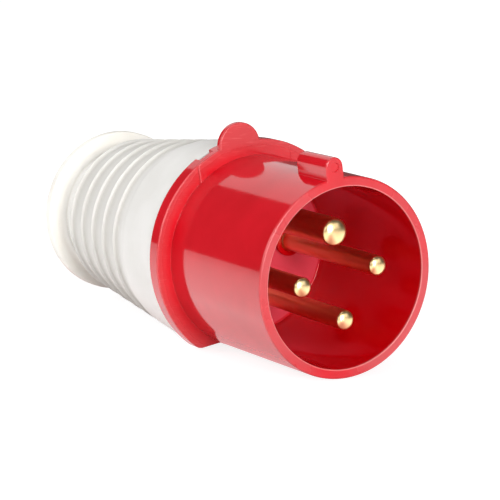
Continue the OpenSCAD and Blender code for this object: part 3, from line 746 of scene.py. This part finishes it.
def ridgeTree():  # a ridge swept along a helix, running out at both ends
    tree, given = geometryTree("threadRidge", {
        "Turns": ("Float", 3.0), "Radius": ("Float", 15.5), "Height": ("Float", 6.0), "Ridge": ("Float", 0.5),
        "Foot": ("Float", 1.4), "Crest": ("Float", 0.5), "Material": ("Material", None)})
    helix = addNode(tree, "GeometryNodeCurveSpiral", {
        "Resolution": 96, "Rotations": given["Turns"], "Height": given["Height"],
        "Start Radius": given["Radius"], "End Radius": given["Radius"]})
    upright = addNode(tree, "GeometryNodeSetCurveNormal", {0: helix}, mode="Z_UP")
    along = addNode(tree, "GeometryNodeSplineParameter", out="Factor")
    fromMiddle = addNode(tree, "ShaderNodeMath", {0: along, 1: 0.5}, operation="SUBTRACT")
    fromMiddle = addNode(tree, "ShaderNodeMath", {0: fromMiddle}, operation="ABSOLUTE")
    runOut = ramps(tree, (fromMiddle, 0.47, 0.5, 1.0, 0.05))  # over the last 3 % of each end
    sized = addNode(tree, "GeometryNodeSetCurveRadius", {0: upright, "Radius": runOut})
    sides = {"Height": given["Ridge"], "Bottom Width": given["Foot"], "Top Width": given["Crest"]}
    section = addNode(tree, "GeometryNodeCurvePrimitiveQuadrilateral", sides, mode="TRAPEZOID")
    swept = addNode(tree, "GeometryNodeCurveToMesh", {0: sized, 1: section, "Fill Caps": True})
    return closeTree(tree, swept, given["Material"])


roundTheAxis, threadRidge = ringTree(), ridgeTree()
ridge = {"sunk": 0.05, "foot": 0.62, "crest": 0.2}  # mm under the surface, then shares of the pitch


def makeThread(name, radius, depth, low, pitch, turns, slot):
    part = grow(meshFrom(name, [(0, 0, 0)], []), threadRidge, {
        "Turns": turns, "Radius": radius + depth / 2 - ridge["sunk"], "Height": pitch * turns,
        "Ridge": depth + 2 * ridge["sunk"], "Foot": pitch * ridge["foot"], "Crest": pitch * ridge["crest"],
        "Material": made[slot]})
    return moved(part, z=low)


def coneR(z):  # the handle's cone over the crests
    share = (handle["frontZ"] - z) / (handle["frontZ"] - handle["rib1"])
    return handle["frontR"] - (handle["frontR"] - handle["rearR"]) * share


def ribProfile(h, steps=18):  # thin rounded crests with grooves that lean to the rear
    line = []
    top = h["crest"]
    for i in range(h["ribs"] - 1, -1, -1):
        crestZ = h["rib1"] + i * h["pitch"]
        for k in range(steps, 0, -1):
            u = k / steps
            z = crestZ + top + (h["pitch"] - 2 * top) * u
            depth = top + (h["groove"] - top) * math.sin(math.pi * u ** h["lean"])
            if i == h["ribs"] - 1:
                depth *= min(1, (1 - u) * h["lastFade"])
            line.append((coneR(z) - depth, z))
        line += arc(coneR(crestZ) - top, crestZ, top, 90, -90, 8)
    return [(r, z) for z, r in sorted({round(z, 5): round(r, 5) for r, z in line}.items(), reverse=True)]


def radialRod(name, radius, low, high, degrees, z, steps=40):
    rod = turned(spin(name, [(0, low), (radius, low), (radius, high), (0, high)], steps), 90, "Y")
    return turned(moved(rod, z=z), degrees)


def makeHandle(h):
    reach, edge, small = 40, h["edge"], h["smallEdge"]  # reach: past the whole plug
    neck = [(h["neckR"] + (h["rearR"] - h["crest"] - h["neckR"]) * (1 - u) ** h["neckSweep"],
             h["rib1"] - h["crest"] - h["neckLen"] * u) for u in np.linspace(0, 1, 18)[1:]]
    outer = ([(h["frontR"] - edge, h["frontZ"])]
             + arc(h["frontR"] - edge, h["frontZ"] - edge, edge, 90, 0, 4)[1:] + ribProfile(h)
             + neck + arc(h["neckR"] - small, h["neckEnd"] + small, small, 0, -90, 3)
             + [(h["coreR"], h["neckEnd"]), (h["coreR"], tailEnd + edge), (h["coreR"] - edge, tailEnd)])
    inner = [(h["glandR"] + small, tailEnd), (h["glandR"], tailEnd + small), (h["glandR"], h["sealZ"]),
             (h["throatR"], h["sealZ"]), (h["throatR"], h["throatZ"]), (h["cavityEndR"], h["throatZ"]),
             (h["cavityR"], h["skirtZ"]), (h["cavityR"], h["frontZ"] - h["mouth"]),
             (h["cavityR"], h["frontZ"])]
    body = spin("handle_shell", outer + inner, housing["steps"])
    below = [(-reach, -reach), (-h["flat"], -reach), (-h["flat"], reach), (-reach, reach)]
    under = prism("under", below, *h["flatSpan"])
    bore = prism("bore", flatted(h["boreR"], h["boreFlat"], h["corner"]), h["skirtZ"], 0)
    seat = prism("seat", flatted(h["seatR"], h["seatFlat"], h["corner"]), h["seatZ"], 0)
    sunk = radialRod("sunk", h["lockR"], h["lockX"], reach, h["lockAt"], h["lockZ"])
    through = radialRod("through", h["lockHoleR"], h["lockHoleX"], reach, h["lockAt"], h["lockZ"])
    return combine(body, [under, bore, seat, sunk, through], "DIFFERENCE")


finishPiece(makeHandle(handle), "plug", "grey_plastic", "handle", 32)
thread = makeThread("handle_thread", handle["coreR"], handle["threadR"] - handle["coreR"],
                    tailEnd + handle["threadEnd"], handle["threadPitch"], handle["threadTurns"],
                    "grey_plastic")
finishPiece(thread, "plug", "grey_plastic", smooth=30)
print("handle")

nut = {  # mm, and degrees for endTurn
    "flangeR": 22.8, "flangeZ": -72.45, "flangeBack": -75.65, "round": 0.6,
    "lipR": 18.35, "lipZ": -70.7, "lipWall": 0.08, "lipEdge": 0.3, "cove": 1.9,
    "bore": 18.5, "neckSeat": -73.45,
    "bodyR": 21.0, "bodyFillet": 0.5, "endR": 14.4, "endRound": 1.2, "endTurn": -12,
    "entryR": 9.2, "entryRound": 0.5, "wallZ": -84.6, "clampR": 13.35, "chamberR": 16.3, "chamberZ": -81.25,
    "grips": 16, "gripW": 2.0, "gripH": 0.8, "gripFront": 0.4, "gripBack": 1.4, "gripSunk": 0.5,
    "gripSquare": 0.6, "gripFade": 5.0, "gripLeast": 0.02,
}


def makeNut(n):
    lip, front, back = n["lipR"] + n["lipWall"], n["flangeZ"], n["flangeBack"]
    edge, cove, fillet, end = n["round"], n["cove"], n["bodyFillet"], n["endRound"]
    outer = ([(n["lipR"], n["lipZ"]), (lip, front + cove)]
             + arc(lip + cove, front + cove, cove, 180, 270, 14)[1:]
             + arc(n["flangeR"] - edge, front - edge, edge, 90, 0)
             + arc(n["flangeR"] - edge, back + edge, edge, 0, -90)
             + arc(n["bodyR"] + fillet, back - fillet, fillet, 90, 180, 4)
             + arc(n["endR"] - end, nutEnd + end, end, n["endTurn"], -90))
    entry = n["entryRound"]
    inner = (arc(n["entryR"] + entry, nutEnd + entry, entry, 270, 180, 5)
             + [(n["entryR"], n["wallZ"]), (n["clampR"], n["wallZ"]), (n["clampR"], n["chamberZ"]),
                (n["chamberR"], n["chamberZ"]), (n["chamberR"], n["neckSeat"]), (n["bore"], n["neckSeat"]),
                (n["bore"], n["lipZ"] - n["lipEdge"])])
    return spin("gland_nut_shell", outer + inner, housing["steps"])


def makeGrip(n, rows=14, across=9):  # one rounded rib along the nut's tapering body
    front, back, half = n["flangeBack"] + n["gripFront"], nutEnd + n["gripBack"], n["gripW"] / 2
    bend = np.radians(np.linspace(-90, 90, across))
    points = []
    for k in range(rows + 1):
        u = k / rows
        z = front + (back - front) * u
        r = n["bodyR"] + (n["endR"] - n["bodyR"]) * (n["flangeBack"] - z) / (n["flangeBack"] - nutEnd)
        rise = n["gripH"] * min(1.0, math.sqrt(max(n["gripLeast"], (1 - u) * n["gripFade"])))
        heights = [0.0] + [rise * math.cos(a) ** n["gripSquare"] for a in bend[1:-1]] + [0.0]
        crown = [(r + height, half * math.sin(a), z) for height, a in zip(heights, bend)]
        points += [(r - n["gripSunk"], -half, z)] + crown + [(r - n["gripSunk"], half, z)]
    count = across + 2
    faces = [tuple(range(count)), tuple(range(rows * count, (rows + 1) * count))]
    for i in range(0, rows * count, count):
        for k in range(count):
            m = (k + 1) % count
            faces.append((i + k, i + m, i + count + m, i + count + k))
    return meshFrom("gland_nut_grips", points, faces)


finishPiece(makeNut(nut), "nut", "ivory_plastic", "gland_nut", 32)
grips = grow(makeGrip(nut), roundTheAxis, {"Count": nut["grips"], "Material": made["ivory_plastic"]})
finishPiece(grips, "nut", "ivory_plastic", smooth=32)
print("nut")

contact = {  # mm, earth pin first
    "wireR": (2.8, 2.1, 2.1, 2.1), "wall": 1.9,
    "dome": 0.5, "blunt": 0.9,  # the nose's height as a share of the radius, and how blunt it is
    "shoulder": 0.3, "shoulderZ": -0.1, "barrelFront": -5.15, "barrelBack": -20.65, "barrelRound": 0.3,
    "chamfer": 0.4, "wireLen": 11.5, "wireFlare": 0.3, "drillTip": 0.8,
    "screwZ": -14.9, "tappedR": 1.75, "tapReach": 8.0,
}


def makePin(name, i, c):
    r, wire, back, front = housing["pinR"][i], c["wireR"][i], c["barrelBack"], c["barrelFront"]
    barrel, dome, shoulder, edge = wire + c["wall"], c["dome"] * r, r + c["shoulder"], c["barrelRound"]
    nose = [(r * math.sin(a) ** c["blunt"], tipZ - dome + dome * math.cos(a))
            for a in np.radians(np.linspace(0, 90, 15))]
    body = ([(r, c["shoulderZ"]), (shoulder, c["shoulderZ"] - c["shoulder"]), (shoulder, front),
             (barrel - c["chamfer"], front), (barrel, front - c["chamfer"])]
            + arc(barrel - edge, back + edge, edge, 0, -90, 4))
    drilled = [(wire + c["wireFlare"], back), (wire, back + c["wireFlare"]), (wire, back + c["wireLen"]),
               (0, back + c["wireLen"] + c["drillTip"])]
    pin = spin(name + "_turned", nose + body + drilled, 96)
    pin = combine(pin, [radialRod("tapped", c["tappedR"], 0, c["tapReach"], 0, c["screwZ"])], "DIFFERENCE")
    return turned(moved(pin, x=housing["pinCircle"]), 90 * i)


screw = {  # mm, the same for every screw
    "headH": 1.4, "headRound": 0.35, "headEdge": 0.15, "slot": 0.8, "slotDeep": 0.8, "rootIn": 0.15,
    "tip": 0.35, "pitch": 0.7, "threadIn": 0.2, "threadFrom": 0.3, "plain": 1.0,
}


def makeScrew(name, shank, length, head, s=screw):  # its head stands on z = 0
    root, tall, bend = shank - s["rootIn"], s["headH"], s["headRound"]
    body = spin(name, [(0, -length), (shank - s["tip"], -length), (root, -length + s["tip"]), (root, 0),
                       (head - s["headEdge"], 0), (head, s["headEdge"])]
                + arc(head - bend, tall - bend, bend, 0, 90, 5) + [(0, tall)], 64)
    wide, half = head + over, s["slot"] / 2
    slot = [(-wide, -half), (wide, -half), (wide, half), (-wide, half)]
    slot = prism("slot", slot, tall - s["slotDeep"], tall + over)
    body = combine(body, [slot], "DIFFERENCE")
    thread = makeThread(name + "Thread", shank - s["threadIn"], s["threadIn"], -length + s["threadFrom"],
                        s["pitch"], max(1.0, (length - s["plain"]) / s["pitch"]), "screw_steel")
    bpy.ops.object.select_all(action="DESELECT")
    thread.select_set(True)
    body.select_set(True)
    bpy.context.view_layer.objects.active = body
    bpy.ops.object.join()
    return body


terminal = {"shank": 1.7, "head": 2.7, "gap": 0.25, "bite": 0.5}  # mm
names = ("earth_pin", "phase_pin_1", "phase_pin_2", "phase_pin_3")
for i, name in enumerate(names):
    finishPiece(makePin(name, i, contact), "plug", "pin_brass", name)
    node = name.replace("_pin", "_terminal_screw")
    seat = contact["wireR"][i] + contact["wall"] + terminal["gap"]
    tip = contact["wireR"][i] - terminal["bite"]
    part = turned(makeScrew(node + "_turned", terminal["shank"], seat - tip, terminal["head"]), 90, "Y")
    moved(part, x=seat + housing["pinCircle"], z=contact["screwZ"])
    finishPiece(turned(part, 90 * i), "plug", "screw_steel", node)
print("contacts")

fixing = {  # mm, and degrees for the turns
    "shank": 1.25, "length": 4.9, "head": 3.3, "at": 15.5, "plate": -8.95, "turns": (45, 225),
}
for k, turn in enumerate(fixing["turns"], 1):
    node = "carrier_screw_%d" % k
    part = turned(makeScrew(node + "_turned", fixing["shank"], fixing["length"], fixing["head"]), 180, "X")
    finishPiece(turned(moved(part, x=fixing["at"], z=fixing["plate"]), turn), "plug", "screw_steel", node)
lock = {"shank": 1.4, "length": 3.7, "head": 2.9}  # mm
part = turned(makeScrew("locking_screw_turned", lock["shank"], lock["length"], lock["head"]), 90, "Y")
moved(part, x=handle["lockX"], z=handle["lockZ"])
finishPiece(turned(part, handle["lockAt"]), "plug", "screw_steel", "locking_screw")
print("screws")

washer = {"outer": 13.0, "inner": 9.7, "front": -82.95, "back": -84.45,
          "rounds": (0.25, 0.25, 0.25, 0.25), "steps": (4, 4)}
seal = {"outer": 12.25, "inner": 6.5, "front": -63.5, "back": -72.7,
        "rounds": (0.5, 0.4, 1.0, 1.0), "steps": (5, 6)}


def makeRing(name, r):  # rounds: outer front, outer back, inner back, inner front
    a, b, c, d = r["rounds"]
    outside, inside = r["steps"]
    return spin(name, arc(r["outer"] - a, r["front"] - a, a, 90, 0, outside)
                + arc(r["outer"] - b, r["back"] + b, b, 0, -90, outside)
                + arc(r["inner"] + c, r["back"] + c, c, 270, 180, inside)
                + arc(r["inner"] + d, r["front"] - d, d, 180, 90, inside), 128)


finishPiece(makeRing("thrust_washer_ring", washer), "washer", "washer_plastic", "thrust_washer")
finishPiece(makeRing("gland_seal_ring", seal), "plug", "seal_rubber", "gland_seal")

softEdges = {  # mm
    "contact_carrier": 0.2, "housing_gasket": 0.2, "clamp_claws": 0.2, "earth_wire_guard": 0.08,
    "phase_wire_guard_1": 0.08, "phase_wire_guard_2": 0.08, "phase_wire_guard_3": 0.08,
}
sharpAngle = math.radians(35)


def softened(node, width):  # the CAD piece with its moulded or pressed edges rounded
    piece = nodes[node].copy()
    piece.data = nodes[node].data.copy()
    piece.name = node + "_rounded"
    scene.collection.objects.link(piece)
    cleaned(piece.data, 1e-6, flat=1)
    piece.data.shade_smooth()
    piece.data.set_sharp_from_angle(angle=sharpAngle)
    step = piece.modifiers.new("soften", "BEVEL")
    step.width = width * mm
    step.segments = 2
    step.limit_method = "ANGLE"
    step.angle_limit = sharpAngle
    dress(bake(piece), "plug", slotOf[node], node)


for node, width in softEdges.items():
    softened(node, width)
print("small pieces")

bpy.context.view_layer.update()
{"cad": asList(cadBounds), "visual": asList(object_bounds())}
